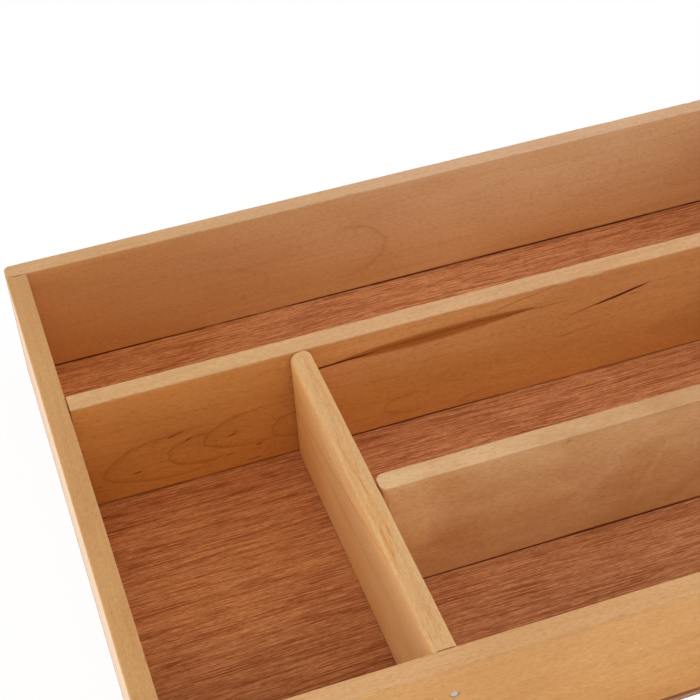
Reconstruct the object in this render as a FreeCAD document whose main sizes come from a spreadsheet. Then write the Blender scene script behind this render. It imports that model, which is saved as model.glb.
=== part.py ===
import FreeCAD, Part
import Sketcher
import os

# A shallow wooden cutlery tray, standing on its bottom panel. The origin is the centre
# of its footprint, +X runs along its length, +Y to its back and +Z up.

# Driving dimensions in millimetres, and counts of pins
SIZES = [
    ("tray_length", 350.0, "outside length"),
    ("back_bay", 78.0, "clear width of the bay along the back"),
    ("middle_bay", 71.0, "clear width of the bay behind the short divider"),
    ("front_bay", 70.0, "clear width of the bay in front of the short divider"),
    ("left_bay", 82.0, "clear length of the bay at the left end"),
    ("wall_height", 50.0, "height of walls and dividers above the panel"),
    ("long_wall", 7.5, "thickness of the front and back walls"),
    ("end_wall", 8.0, "thickness of the left and right walls"),
    ("divider", 8.0, "thickness of the dividers"),
    ("bottom_panel", 3.0, "thickness of the plywood bottom panel"),
    ("divider_slack", 0.4, "gap at the left end of the long and the short divider"),
    ("corner_round", 2.5, "outer upright corners of the tray"),
    ("top_round", 1.2, "top edges of walls and dividers"),
    ("end_round", 2.8, "upright corners at the free cut ends of two dividers"),
    ("floor_ease", 0.5, "lower edges of walls and dividers"),
    ("panel_ease", 0.4, "lower edge of the bottom panel"),
    ("pin_shank", 0.7, "radius of a pin's shank"),
    ("pin_head", 1.2, "radius of a pin's head"),
    ("pin_head_depth", 0.6, "thickness of a pin's head"),
    ("pin_sink", 0.3, "depth of a pin's head below the surface"),
    ("pin_tip", 2.0, "length of a pin's point"),
    ("pin_room", 0.05, "clearance round a pin in its hole"),
    ("wall_pin", 20.0, "length of a pin under its head, through a wall"),
    ("panel_pin", 14.0, "length of a pin under its head, through the panel"),
    ("pin_edge", 13.0, "from the lower and upper edge of a board to a pin"),
    ("row_inset", 30.0, "from the end of a board to the first pin through the panel"),
    ("hole_mouth", 1.0, "how far a hole's cut reaches out of the surface"),
    ("wall_pin_count", 2, "pins at each joint of two boards"),
    ("long_wall_count", 5, "pins through the panel into a long wall"),
    ("end_wall_count", 3, "pins through the panel into an end wall"),
    ("long_divider_count", 4, "pins through the panel into the long divider"),
    ("cross_divider_count", 2, "pins through the panel into the cross divider"),
    ("short_divider_count", 3, "pins through the panel into the short divider"),
]

doc = FreeCAD.newDocument("cutlery_tray")


def make_sheet():
    """Write the driving dimensions into the sheet that every sub-part reads."""
    sheet = doc.addObject("Spreadsheet::Sheet", "Sizes")
    for row, (alias, value, meaning) in enumerate(SIZES, start=1):
        sheet.set("A%d" % row, meaning)
        sheet.set("B%d" % row, str(value))
        sheet.setAlias("B%d" % row, alias)
    doc.recompute()


# Planes of the tray, as expressions of the driving dimensions
LEFT = "(-Sizes.tray_length / 2)"
RIGHT = "(Sizes.tray_length / 2)"
INNER_LEFT = f"({LEFT} + Sizes.end_wall)"
INNER_RIGHT = f"({RIGHT} - Sizes.end_wall)"
INNER_DEPTH = "(Sizes.back_bay + Sizes.middle_bay + Sizes.front_bay + 2 * Sizes.divider)"
DEPTH = f"({INNER_DEPTH} + 2 * Sizes.long_wall)"
FRONT = f"(-{DEPTH} / 2)"
BACK = f"({DEPTH} / 2)"
INNER_FRONT = f"({FRONT} + Sizes.long_wall)"
INNER_BACK = f"({BACK} - Sizes.long_wall)"
LONG_FRONT = f"({INNER_BACK} - Sizes.back_bay - Sizes.divider)"
SHORT_FRONT = f"({INNER_FRONT} + Sizes.front_bay)"
CROSS_LEFT = f"({INNER_LEFT} + Sizes.left_bay)"
CROSS_RIGHT = f"({CROSS_LEFT} + Sizes.divider)"
FLOOR = "Sizes.bottom_panel"

# Middles of the boards, where the pins enter them
END_WALL_X = {
    "left": f"({LEFT} + Sizes.end_wall / 2)",
    "right": f"({RIGHT} - Sizes.end_wall / 2)",
}
LONG_WALL_Y = {
    "back": f"({BACK} - Sizes.long_wall / 2)",
    "front": f"({FRONT} + Sizes.long_wall / 2)",
}
LONG_DIVIDER_Y = f"({LONG_FRONT} + Sizes.divider / 2)"
SHORT_DIVIDER_Y = f"({SHORT_FRONT} + Sizes.divider / 2)"
CROSS_DIVIDER_X = f"({CROSS_LEFT} + Sizes.divider / 2)"

NEAR = 1e-6


def place(feature, x, y, z):
    """Tie the corner or seat of a feature to three expressions."""
    feature.setExpression("Placement.Base.x", x)
    feature.setExpression("Placement.Base.y", y)
    feature.setExpression("Placement.Base.z", z)


def own_plane(body, role):
    return [o for o in body.Origin.OriginFeatures if o.Role == role][0]


def sketch_on(body, name, role):
    sketch = body.newObject("Sketcher::SketchObject", name)
    sketch.AttachmentSupport = (own_plane(body, role), [""])
    sketch.MapMode = "FlatFace"
    return sketch


def closed_outline(sketch, corners):
    """Draw straight lines round the corners, joined end to end."""
    for start, end in zip(corners, corners[1:] + corners[:1]):
        line = Part.LineSegment(FreeCAD.Vector(*start, 0), FreeCAD.Vector(*end, 0))
        sketch.addGeometry(line, False)
    for line in range(len(corners)):
        following = (line + 1) % len(corners)
        sketch.addConstraint(Sketcher.Constraint("Coincident", line, 2, following, 1))


def dimension(sketch, kind, ends, value, expression):
    """Add one dimension between two points of the sketch and tie it to an expression."""
    index = sketch.addConstraint(Sketcher.Constraint(kind, *ends, value))
    sketch.setExpression("Constraints[%d]" % index, expression)


def board(label, x, y, z, along_x, along_y, height):
    """A rectangular board, padded up from its lower left front corner."""
    body = doc.addObject("PartDesign::Body", label + "_blank")
    plan = sketch_on(body, label + "_plan", "XY_Plane")
    closed_outline(plan, [(0, 0), (10, 0), (10, 5), (0, 5)])
    plan.addConstraint(Sketcher.Constraint("Coincident", 0, 1, -1, 1))
    for line, kind in enumerate(["Horizontal", "Vertical", "Horizontal", "Vertical"]):
        plan.addConstraint(Sketcher.Constraint(kind, line))
    dimension(plan, "DistanceX", (0, 1, 0, 2), 10, along_x)
    dimension(plan, "DistanceY", (1, 1, 1, 2), 5, along_y)
    pad = body.newObject("PartDesign::Pad", label + "_pad")
    pad.Profile = plan
    pad.setExpression("Length", height)
    place(body, x, y, z)
    doc.recompute()
    return body


def round_edges(body, name, wanted, radius):
    """Fillet the edges whose box passes a test, given with the box of the whole board."""
    base = body.Tip
    whole = base.Shape.BoundBox
    names = ["Edge%d" % (i + 1) for i, e in enumerate(base.Shape.Edges) if wanted(e.BoundBox, whole)]
    fillet = body.newObject("PartDesign::Fillet", name)
    fillet.Base = (base, names)
    fillet.setExpression("Radius", radius)
    doc.recompute()


def is_upright(edge, whole):
    return edge.ZLength > whole.ZLength / 2


def is_upper(edge, whole):
    return edge.ZMin > whole.ZMax - NEAR


def is_lower(edge, whole):
    return edge.ZMax < whole.ZMin + NEAR


def is_along_x(edge, whole):
    return edge.XLength > whole.XLength / 2


def is_along_y(edge, whole):
    return edge.YLength > whole.YLength / 2


def is_at_left(edge, whole):
    return edge.XMax < whole.XMin + NEAR


def is_at_right(edge, whole):
    return edge.XMin > whole.XMax - NEAR


def is_at_front(edge, whole):
    return edge.YMax < whole.YMin + NEAR


def is_at_back(edge, whole):
    return edge.YMin > whole.YMax - NEAR


def both(first, second):
    return lambda edge, whole: first(edge, whole) and second(edge, whole)


def but_not(first, second):
    return lambda edge, whole: first(edge, whole) and not second(edge, whole)


def bottom_panel():
    """The plywood panel under all the boards."""
    body = board("bottom_panel", LEFT, FRONT, "0", "Sizes.tray_length", DEPTH, FLOOR)
    round_edges(body, "panel_corners", is_upright, "Sizes.corner_round")
    round_edges(body, "panel_lower_edge", is_lower, "Sizes.panel_ease")


def long_wall(label, y, is_outside):
    """A wall the full length of the tray, which covers the ends of the end walls."""
    body = board(label, LEFT, y, FLOOR, "Sizes.tray_length", "Sizes.long_wall", "Sizes.wall_height")
    round_edges(body, label + "_corners", both(is_upright, is_outside), "Sizes.corner_round")
    round_edges(body, label + "_top_edges", is_upper, "Sizes.top_round")
    round_edges(body, label + "_lower_edges", both(is_lower, is_along_x), "Sizes.floor_ease")


def end_wall(label, x):
    """A short wall between the two long walls."""
    body = board(label, x, INNER_FRONT, FLOOR, "Sizes.end_wall", INNER_DEPTH, "Sizes.wall_height")
    round_edges(body, label + "_top_edges", both(is_upper, is_along_y), "Sizes.top_round")
    round_edges(body, label + "_lower_edges", both(is_lower, is_along_y), "Sizes.floor_ease")


def long_divider():
    """The divider that parts the back bay from the rest, with square ends."""
    label = "long_divider"
    start = f"({INNER_LEFT} + Sizes.divider_slack)"
    length = f"({INNER_RIGHT} - {start})"
    body = board(label, start, LONG_FRONT, FLOOR, length, "Sizes.divider", "Sizes.wall_height")
    round_edges(body, label + "_top_edges", both(is_upper, is_along_x), "Sizes.top_round")
    round_edges(body, label + "_lower_edges", both(is_lower, is_along_x), "Sizes.floor_ease")


def cross_divider():
    """From the front wall to the long divider, rounded where it meets the long divider."""
    label = "cross_divider"
    length = f"({LONG_FRONT} - {INNER_FRONT})"
    body = board(label, CROSS_LEFT, INNER_FRONT, FLOOR, "Sizes.divider", length, "Sizes.wall_height")
    round_edges(body, label + "_end", both(is_upright, is_at_back), "Sizes.end_round")
    round_edges(body, label + "_top_edges", but_not(is_upper, is_at_front), "Sizes.top_round")
    round_edges(body, label + "_lower_edges", both(is_lower, is_along_y), "Sizes.floor_ease")


def short_divider():
    """From the cross divider to the right wall, rounded at its left end."""
    label = "short_divider"
    start = f"({CROSS_RIGHT} + Sizes.divider_slack)"
    length = f"({INNER_RIGHT} - {start})"
    body = board(label, start, SHORT_FRONT, FLOOR, length, "Sizes.divider", "Sizes.wall_height")
    round_edges(body, label + "_end", both(is_upright, is_at_left), "Sizes.end_round")
    round_edges(body, label + "_top_edges", but_not(is_upper, is_at_right), "Sizes.top_round")
    round_edges(body, label + "_lower_edges", both(is_lower, is_along_x), "Sizes.floor_ease")


# Directions that pins are driven in, and that rows of pins run in
TO_RIGHT = FreeCAD.Vector(1, 0, 0)
TO_LEFT = FreeCAD.Vector(-1, 0, 0)
TO_BACK = FreeCAD.Vector(0, 1, 0)
TO_FRONT = FreeCAD.Vector(0, -1, 0)
UP = FreeCAD.Vector(0, 0, 1)

# How deep the underside of a pin's head lies in the board
SEAT = "(Sizes.pin_sink + Sizes.pin_head_depth)"


def row_of_pins(label, seat, drive, step, count, span, length, head, rise, shank, tip):
    """Turn one pin about its axis, the seat of its head at the origin, and repeat it along a row."""
    body = doc.addObject("PartDesign::Body", label)
    half = sketch_on(body, label + "_half", "XZ_Plane")
    closed_outline(half, [(0, -1), (2, -1), (2, 0), (1, 0), (1, 8), (0, 10)])
    half.addConstraint(Sketcher.Constraint("Horizontal", 0))
    half.addConstraint(Sketcher.Constraint("Vertical", 1))
    half.addConstraint(Sketcher.Constraint("Vertical", 3))
    for line, axis in ((0, -2), (2, -1), (3, -1), (5, -2)):
        half.addConstraint(Sketcher.Constraint("PointOnObject", line, 1, axis))
    dimension(half, "DistanceX", (-1, 1, 1, 1), 2, head)
    dimension(half, "DistanceX", (-1, 1, 3, 1), 1, shank)
    dimension(half, "DistanceY", (0, 1, -1, 1), 1, rise)
    dimension(half, "DistanceY", (3, 1, 3, 2), 8, f"{length} - Sizes.pin_tip")
    dimension(half, "DistanceY", (4, 1, 4, 2), 2, tip)
    turned = body.newObject("PartDesign::Revolution", label + "_pin")
    turned.Profile = half
    turned.ReferenceAxis = (half, ["V_Axis"])
    turned.Angle = 360
    doc.recompute()
    row = body.newObject("PartDesign::LinearPattern", label + "_row")
    row.Originals = [turned]
    row.Direction = (own_plane(body, "X_Axis"), [""])
    row.setExpression("Length", span)
    row.setExpression("Occurrences", count)
    body.Tip = row
    body.Placement.Rotation = FreeCAD.Rotation(step, drive.cross(step), drive, "ZXY")
    place(body, *seat)
    doc.recompute()
    return body


def pins_and_holes(label, seat, drive, step, count, span, length):
    """A row of pins, and the same row with clearance, which cuts their holes."""
    row_of_pins(
        label, seat, drive, step, count, span, length,
        head="Sizes.pin_head",
        rise="Sizes.pin_head_depth",
        shank="Sizes.pin_shank",
        tip="Sizes.pin_tip",
    )
    return row_of_pins(
        label + "_holes", seat, drive, step, count, span, length,
        head="Sizes.pin_head + Sizes.pin_room",
        rise=f"{SEAT} + Sizes.hole_mouth",
        shank="Sizes.pin_shank + Sizes.pin_room",
        tip="Sizes.pin_tip + 2 * Sizes.pin_room",
    )


def joint_pins(label, x, y, drive):
    """Pins one above the other, through a wall into the end of a board."""
    seat = (x, y, f"({FLOOR} + Sizes.pin_edge)")
    span = "(Sizes.wall_height - 2 * Sizes.pin_edge)"
    return pins_and_holes(label, seat, drive, UP, "Sizes.wall_pin_count", span, "Sizes.wall_pin")


def panel_pins(label, x, y, step, count, length):
    """Pins in a row through the panel into the lower edge of a board, from one end of the row."""
    span = f"({length} - 2 * Sizes.row_inset)"
    return pins_and_holes(label, (x, y, SEAT), UP, step, count, span, "Sizes.panel_pin")


def corner_pins():
    """Through the long walls into the ends of the end walls."""
    seats = {
        "back": (f"({BACK} - {SEAT})", TO_FRONT),
        "front": (f"({FRONT} + {SEAT})", TO_BACK),
    }
    holes = []
    for side, (y, drive) in seats.items():
        for end, x in END_WALL_X.items():
            holes.append(joint_pins("corner_pins_%s_%s" % (side, end), x, y, drive))
    return holes


def divider_pins():
    """Through the walls into the ends of the dividers."""
    from_left = f"({LEFT} + {SEAT})"
    from_right = f"({RIGHT} - {SEAT})"
    from_front = f"({FRONT} + {SEAT})"
    return [
        joint_pins("long_divider_pins_left", from_left, LONG_DIVIDER_Y, TO_RIGHT),
        joint_pins("long_divider_pins_right", from_right, LONG_DIVIDER_Y, TO_LEFT),
        joint_pins("cross_divider_pins_front", CROSS_DIVIDER_X, from_front, TO_BACK),
        joint_pins("short_divider_pins_right", from_right, SHORT_DIVIDER_Y, TO_LEFT),
    ]


def rows_along_x():
    """Through the panel into the long walls, the long divider and the short divider."""
    tray = (LEFT, "Sizes.tray_length")
    inside = (INNER_LEFT, f"({INNER_RIGHT} - {INNER_LEFT})")
    right_of_cross = (CROSS_RIGHT, f"({INNER_RIGHT} - {CROSS_RIGHT})")
    rows = [
        ("back_wall", LONG_WALL_Y["back"], tray, "Sizes.long_wall_count"),
        ("front_wall", LONG_WALL_Y["front"], tray, "Sizes.long_wall_count"),
        ("long_divider", LONG_DIVIDER_Y, inside, "Sizes.long_divider_count"),
        ("short_divider", SHORT_DIVIDER_Y, right_of_cross, "Sizes.short_divider_count"),
    ]
    holes = []
    for name, y, (start, length), count in rows:
        first = f"({start} + Sizes.row_inset)"
        holes.append(panel_pins("panel_pins_" + name, first, y, TO_RIGHT, count, length))
    return holes


def rows_along_y():
    """Through the panel into the end walls and the cross divider."""
    before_long = f"({LONG_FRONT} - {INNER_FRONT})"
    rows = [
        ("left_wall", END_WALL_X["left"], INNER_DEPTH, "Sizes.end_wall_count"),
        ("right_wall", END_WALL_X["right"], INNER_DEPTH, "Sizes.end_wall_count"),
        ("cross_divider", CROSS_DIVIDER_X, before_long, "Sizes.cross_divider_count"),
    ]
    first = f"({INNER_FRONT} + Sizes.row_inset)"
    holes = []
    for name, x, length, count in rows:
        holes.append(panel_pins("panel_pins_" + name, x, first, TO_BACK, count, length))
    return holes


def cut_pin_holes(holes):
    """Cut the holes of all the pins out of every board that they enter."""
    every_hole = doc.addObject("Part::Compound", "pin_holes")
    every_hole.Links = holes
    blanks = [o for o in doc.Objects if o.TypeId == "PartDesign::Body" and o.Label.endswith("_blank")]
    for blank in blanks:
        bored = doc.addObject("Part::Cut", blank.Label.replace("_blank", ""))
        bored.Base = blank
        bored.Tool = every_hole
    doc.recompute()


def sub_parts():
    """The boards with their holes, and the rows of pins."""
    boards = [o for o in doc.Objects if o.TypeId == "Part::Cut"]
    pins = [
        o for o in doc.Objects
        if o.TypeId == "PartDesign::Body" and not o.Label.endswith(("_blank", "_holes"))
    ]
    return boards + pins


def check(parts):
    """Stop before anything is written if an object failed or a shape isn't sound."""
    for item in doc.Objects:
        if "Invalid" in item.State or "Error" in item.State:
            raise RuntimeError("%s failed: %s" % (item.Label, item.State))
    for part in parts:
        if part.Shape.isNull() or not part.Shape.isValid() or part.Shape.Volume <= 0:
            raise RuntimeError("%s has no sound shape" % part.Label)


make_sheet()
bottom_panel()
long_wall("back_wall", INNER_BACK, is_at_back)
long_wall("front_wall", FRONT, is_at_front)
end_wall("left_wall", LEFT)
end_wall("right_wall", INNER_RIGHT)
long_divider()
cross_divider()
short_divider()
cut_pin_holes(corner_pins() + divider_pins() + rows_along_x() + rows_along_y())
check(sub_parts())
os.makedirs("parts", exist_ok=True)
for part in sub_parts():
    part.Shape.exportStep("parts/%s.step" % part.Label)
    print("%-28s %2d solids %12.2f mm3" % (part.Label, len(part.Shape.Solids), part.Shape.Volume))
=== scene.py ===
import math
import bmesh
import bpy
from mathutils import Matrix, Vector, noise


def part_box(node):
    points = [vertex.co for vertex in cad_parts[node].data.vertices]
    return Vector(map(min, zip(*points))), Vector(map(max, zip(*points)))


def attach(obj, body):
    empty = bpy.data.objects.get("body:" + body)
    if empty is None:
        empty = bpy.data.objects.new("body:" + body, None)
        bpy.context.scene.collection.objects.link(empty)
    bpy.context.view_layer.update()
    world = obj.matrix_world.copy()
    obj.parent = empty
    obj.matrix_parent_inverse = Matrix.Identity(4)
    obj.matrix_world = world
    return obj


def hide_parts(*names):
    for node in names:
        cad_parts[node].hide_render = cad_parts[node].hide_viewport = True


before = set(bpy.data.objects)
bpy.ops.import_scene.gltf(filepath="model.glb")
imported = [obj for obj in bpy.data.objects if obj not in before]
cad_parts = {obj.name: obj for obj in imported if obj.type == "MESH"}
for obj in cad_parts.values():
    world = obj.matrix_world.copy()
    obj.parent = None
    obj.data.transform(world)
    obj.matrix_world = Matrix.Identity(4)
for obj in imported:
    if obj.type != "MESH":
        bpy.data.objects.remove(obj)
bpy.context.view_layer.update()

MM = 0.001  # the sizes below are in millimetres, the scene is in metres


# Camera, solved from the straight edges of the photograph

CAMERA_PLACE = (-189.9, -419.4, 448.2)
CAMERA_DOWN, CAMERA_TURN, CAMERA_ROLL = 40.569, 15.908, -4.243
CAMERA_LENS = 85.35


def photo_camera():
    """The camera at the photograph's place: tilted down, turned to the right and slightly rolled."""
    down, turn, roll = (math.radians(a) for a in (CAMERA_DOWN, CAMERA_TURN, CAMERA_ROLL))
    right = Vector((math.cos(turn), -math.sin(turn), 0))
    low = Vector((-math.sin(turn) * math.sin(down), -math.cos(turn) * math.sin(down), -math.cos(down)))
    ahead = Vector((math.sin(turn) * math.cos(down), math.cos(turn) * math.cos(down), -math.sin(down)))
    side = right * math.cos(roll) - low * math.sin(roll)
    up = -(right * math.sin(roll) + low * math.cos(roll))
    data = bpy.data.cameras.new("camera")
    data.lens = CAMERA_LENS
    data.sensor_width = 36
    data.clip_start = 0.01
    data.clip_end = 20
    camera = bpy.data.objects.new("camera", data)
    bpy.context.scene.collection.objects.link(camera)
    turned = Matrix((side, up, -ahead)).transposed().to_4x4()
    camera.matrix_world = Matrix.Translation(Vector(CAMERA_PLACE) * MM) @ turned
    bpy.context.scene.camera = camera


# Short calls for node trees


def feed(tree, socket, value):
    """Links another node's output to a socket, or sets the socket's own number."""
    if isinstance(value, bpy.types.NodeSocket):
        tree.links.new(value, socket)
    else:
        socket.default_value = value


def place(tree, kind, inputs=None, **settings):
    """A new node with its settings and inputs."""
    made = tree.nodes.new(kind)
    for name, value in settings.items():
        setattr(made, name, value)
    for name, value in (inputs or {}).items():
        feed(tree, made.inputs[name], value)
    return made


def calc(tree, operation, *values, clamp=False):
    """One sum on numbers."""
    made = place(tree, "ShaderNodeMath", dict(enumerate(values)), operation=operation, use_clamp=clamp)
    return made.outputs[0]


def vector_calc(tree, operation, *values, out="Vector"):
    """One sum on vectors; out picks Vector or Value."""
    made = place(tree, "ShaderNodeVectorMath", dict(enumerate(values)), operation=operation)
    return made.outputs[out]


def stretched(tree, vector, scales):
    return vector_calc(tree, "MULTIPLY", vector, scales)


def cloud(tree, vector, shift, detail=2.0, roughness=0.5, out="Fac"):
    """Soft noise between 0 and 1; a feature is about one unit across. Shift picks another part of it."""
    spot = vector_calc(tree, "ADD", vector, shift)
    inputs = {"Vector": spot, "Scale": 1.0, "Detail": detail, "Roughness": roughness}
    made = place(tree, "ShaderNodeTexNoise", inputs, noise_dimensions="3D")
    return made.outputs[out]


def ramp(tree, value, low, high, start=0.0, end=1.0, smooth=True):
    """Takes value from low..high to start..end, held at both ends."""
    kind = "SMOOTHSTEP" if smooth else "LINEAR"
    inputs = {"Value": value, "From Min": low, "From Max": high, "To Min": start, "To Max": end}
    made = place(tree, "ShaderNodeMapRange", inputs, interpolation_type=kind, clamp=True)
    return made.outputs["Result"]


def blend(tree, amount, first, second, how="MIX"):
    """The first colour at amount 0, the second at 1."""
    made = place(tree, "ShaderNodeMix", data_type="RGBA", blend_type=how, clamp_factor=True)
    feed(tree, made.inputs[0], amount)
    feed(tree, made.inputs[6], first)
    feed(tree, made.inputs[7], second)
    return made.outputs[2]


def group(name, inputs, outputs):
    """An empty node group with named sockets; returns its tree, its inputs and its outputs."""
    tree = bpy.data.node_groups.new(name, "ShaderNodeTree")
    for label, kind, value in inputs:
        socket = tree.interface.new_socket(label, in_out="INPUT", socket_type="NodeSocket" + kind)
        socket.default_value = value
    for label, kind in outputs:
        tree.interface.new_socket(label, in_out="OUTPUT", socket_type="NodeSocket" + kind)
    return tree, tree.nodes.new("NodeGroupInput").outputs, tree.nodes.new("NodeGroupOutput").inputs


def use(tree, made_group, **values):
    """Places a group in a tree; a value's name is the socket's, with _ for a blank."""
    made = tree.nodes.new("ShaderNodeGroup")
    made.node_tree = made_group
    for name, value in values.items():
        feed(tree, made.inputs[name.replace("_", " ")], value)
    return made.outputs


# Effects that the materials share
# Inside a board, X runs along the grain, Y through the thickness and Z up, all in millimetres.

PLACE = ("Place", "Vector", (0, 0, 0))
SHIFT = ("Shift", "Vector", (0, 0, 0))


def split(tree, vector):
    return place(tree, "ShaderNodeSeparateXYZ", {0: vector}).outputs


def join(tree, x=0.0, y=0.0, z=0.0):
    return place(tree, "ShaderNodeCombineXYZ", {0: x, 1: y, 2: z}).outputs[0]


def scaled(tree, vector, amount):
    made = vector_calc(tree, "SCALE", vector)
    feed(tree, made.node.inputs["Scale"], amount)
    return made


def growth_rings():
    """Rings of a log round a leaning pith. The faces of a board cut them into arches and lines."""
    tree, given, result = group(
        "Growth Rings",
        [
            PLACE,
            SHIFT,
            ("Pith", "Vector", (0, 0, 0)),
            ("Lean", "Float", 0.05),
            ("Drop", "Float", 0.0),
            ("Spacing", "Float", 2.0),
            ("Warp", "Float", 3.0),
            ("Thinness", "Float", 6.0),
        ],
        [("Line", "Float"), ("Ring Tone", "Float")],
    )
    spot = vector_calc(tree, "SUBTRACT", given["Place"], given["Pith"])
    bend = stretched(tree, given["Place"], (0.013, 0.05, 0.05))
    bend = cloud(tree, bend, given["Shift"], 2.0, 0.45, "Color")
    bend = scaled(tree, vector_calc(tree, "SUBTRACT", bend, (0.5, 0.5, 0.5)), given["Warp"])
    parts = split(tree, vector_calc(tree, "ADD", spot, bend))
    along = split(tree, given["Place"])["X"]
    across = calc(tree, "SUBTRACT", parts["Y"], calc(tree, "MULTIPLY", along, given["Lean"]))
    upright = calc(tree, "SUBTRACT", parts["Z"], calc(tree, "MULTIPLY", along, given["Drop"]))
    far = vector_calc(tree, "LENGTH", join(tree, 0.0, across, upright), out="Value")
    ripple = cloud(tree, stretched(tree, given["Place"], (0.05, 0.5, 0.5)), given["Shift"], 2.0, 0.55)
    far = calc(tree, "ADD", far, calc(tree, "SUBTRACT", ripple, 0.5))
    count = calc(tree, "DIVIDE", far, given["Spacing"])
    part = calc(tree, "FRACT", count)
    falling = calc(tree, "MULTIPLY", calc(tree, "SUBTRACT", 1.0, part), 7.0)
    late = calc(tree, "MINIMUM", calc(tree, "POWER", part, given["Thinness"]), falling)
    number = calc(tree, "FLOOR", count)
    chance = place(tree, "ShaderNodeTexWhiteNoise", {"W": number}, noise_dimensions="1D").outputs["Value"]
    weight = ramp(tree, chance, 0.1, 0.9, 0.3, 1.0, smooth=False)
    feed(tree, result["Line"], calc(tree, "MULTIPLY", late, weight, clamp=True))
    feed(tree, result["Ring Tone"], chance)
    return tree


def grain_arch():
    """One growth ring cut to a pointed arch on a board's face, with its own height above and below."""
    tree, given, result = group(
        "Grain Arch",
        [
            PLACE,
            ("Apex", "Vector", (0, 0, 0)),
            ("Reach", "Float", 20.0),
            ("Rise", "Float", 8.0),
            ("Fall", "Float", 6.0),
            ("Width", "Float", 0.5),
            ("Fade", "Float", 0.5),
        ],
        [("Line", "Float"), ("Inside", "Float")],
    )
    spot = split(tree, vector_calc(tree, "SUBTRACT", given["Place"], given["Apex"]))
    along = calc(tree, "SUBTRACT", calc(tree, "DIVIDE", spot["X"], given["Reach"]), 1.0)
    above = calc(tree, "GREATER_THAN", spot["Z"], 0.0)
    tall = calc(tree, "SUBTRACT", given["Rise"], given["Fall"])
    tall = calc(tree, "ADD", given["Fall"], calc(tree, "MULTIPLY", tall, above))
    upright = calc(tree, "DIVIDE", spot["Z"], tall)
    # the oval's own measure is 1 on its line; its slope turns the rest into millimetres off the line
    oval = vector_calc(tree, "LENGTH", join(tree, along, 0.0, upright), out="Value")
    run, climb = calc(tree, "DIVIDE", along, given["Reach"]), calc(tree, "DIVIDE", upright, tall)
    slope = vector_calc(tree, "LENGTH", join(tree, run, 0.0, climb), out="Value")
    slope = calc(tree, "DIVIDE", slope, calc(tree, "MAXIMUM", oval, 0.1))
    off = calc(tree, "DIVIDE", calc(tree, "SUBTRACT", oval, 1.0), calc(tree, "MAXIMUM", slope, 0.005))
    near = ramp(tree, calc(tree, "ABSOLUTE", off), given["Width"], 0.0)
    within = calc(tree, "MULTIPLY", calc(tree, "LESS_THAN", off, 0.0), ramp(tree, off, -3.0, 0.0))
    fading = ramp(tree, along, given["Fade"], calc(tree, "SUBTRACT", given["Fade"], 0.8))
    feed(tree, result["Line"], calc(tree, "MULTIPLY", near, fading))
    feed(tree, result["Inside"], calc(tree, "MULTIPLY", within, fading))
    return tree


def wood_fibres():
    """Streaks along the grain, and short dark flecks where a ray or a vessel is cut."""
    tree, given, result = group(
        "Wood Fibres",
        [PLACE, SHIFT],
        [("Streaks", "Float"), ("Fine", "Float"), ("Flecks", "Float")],
    )
    spot, shift = given["Place"], given["Shift"]
    at = vector_calc(tree, "ADD", stretched(tree, spot, (0.35, 1.5, 1.5)), shift)
    cells = place(tree, "ShaderNodeTexVoronoi", {"Vector": at, "Scale": 1.0}, feature="F1").outputs
    picked = split(tree, cells["Color"])["X"]
    near = ramp(tree, cells["Distance"], 0.38, 0.10)
    feed(tree, result["Streaks"], cloud(tree, stretched(tree, spot, (0.022, 0.55, 0.55)), shift, 3.0, 0.6))
    feed(tree, result["Fine"], cloud(tree, stretched(tree, spot, (0.45, 1.8, 1.8)), shift, 2.0, 0.7))
    feed(tree, result["Flecks"], calc(tree, "MULTIPLY", near, ramp(tree, picked, 0.6, 0.95)))
    return tree


def tone_patches():
    """Slow changes of tone over a board, longer along the grain. Size is in millimetres."""
    tree, given, result = group(
        "Tone Patches",
        [PLACE, SHIFT, ("Size", "Float", 40.0)],
        [("Tone", "Float")],
    )
    spot = stretched(tree, given["Place"], (0.45, 1.0, 1.0))
    spot = scaled(tree, spot, calc(tree, "DIVIDE", 1.0, given["Size"]))
    feed(tree, result["Tone"], cloud(tree, spot, given["Shift"], 3.0, 0.55))
    return tree


# For each layer of pores: features per millimetre along and across the grain, the noise level at which
# a line starts, and how strong it is
PORE_LAYERS = ((0.045, 2.4, 0.59, 1.0), (0.065, 3.1, 0.57, 0.9), (0.10, 3.9, 0.555, 0.8))


def open_pores():
    """The open pores of a peeled face veneer: thin broken lines that follow the grain."""
    tree, given, result = group(
        "Open Pores",
        [PLACE, SHIFT],
        [("Lines", "Float"), ("Bands", "Float"), ("Hair", "Float")],
    )
    spot, shift = given["Place"], given["Shift"]
    sway = cloud(tree, stretched(tree, spot, (0.008, 0.02, 0.02)), shift, 1.0, 0.5)
    sway = calc(tree, "MULTIPLY", calc(tree, "SUBTRACT", sway, 0.5), 5.0)
    spot = vector_calc(tree, "ADD", spot, join(tree, 0.0, sway))
    depth = cloud(tree, stretched(tree, spot, (0.04, 0.45, 0.1)), shift, 2.0, 0.6)
    depth = ramp(tree, depth, 0.36, 0.60, 0.60, 1.0)
    lines = 0.0
    for along, across, level, strength in PORE_LAYERS:
        field = cloud(tree, stretched(tree, spot, (along, across, 0.1)), shift, 0.6, 0.5)
        field = ramp(tree, field, level, level + 0.05)
        line = calc(tree, "MULTIPLY", field, calc(tree, "MULTIPLY", depth, strength))
        lines = calc(tree, "MAXIMUM", lines, line)
    feed(tree, result["Lines"], lines)
    feed(tree, result["Bands"], cloud(tree, stretched(tree, spot, (0.007, 0.16, 0.1)), shift, 2.0, 0.5))
    feed(tree, result["Hair"], cloud(tree, stretched(tree, spot, (0.5, 4.2, 0.1)), shift, 1.0, 0.6))
    return tree


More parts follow.
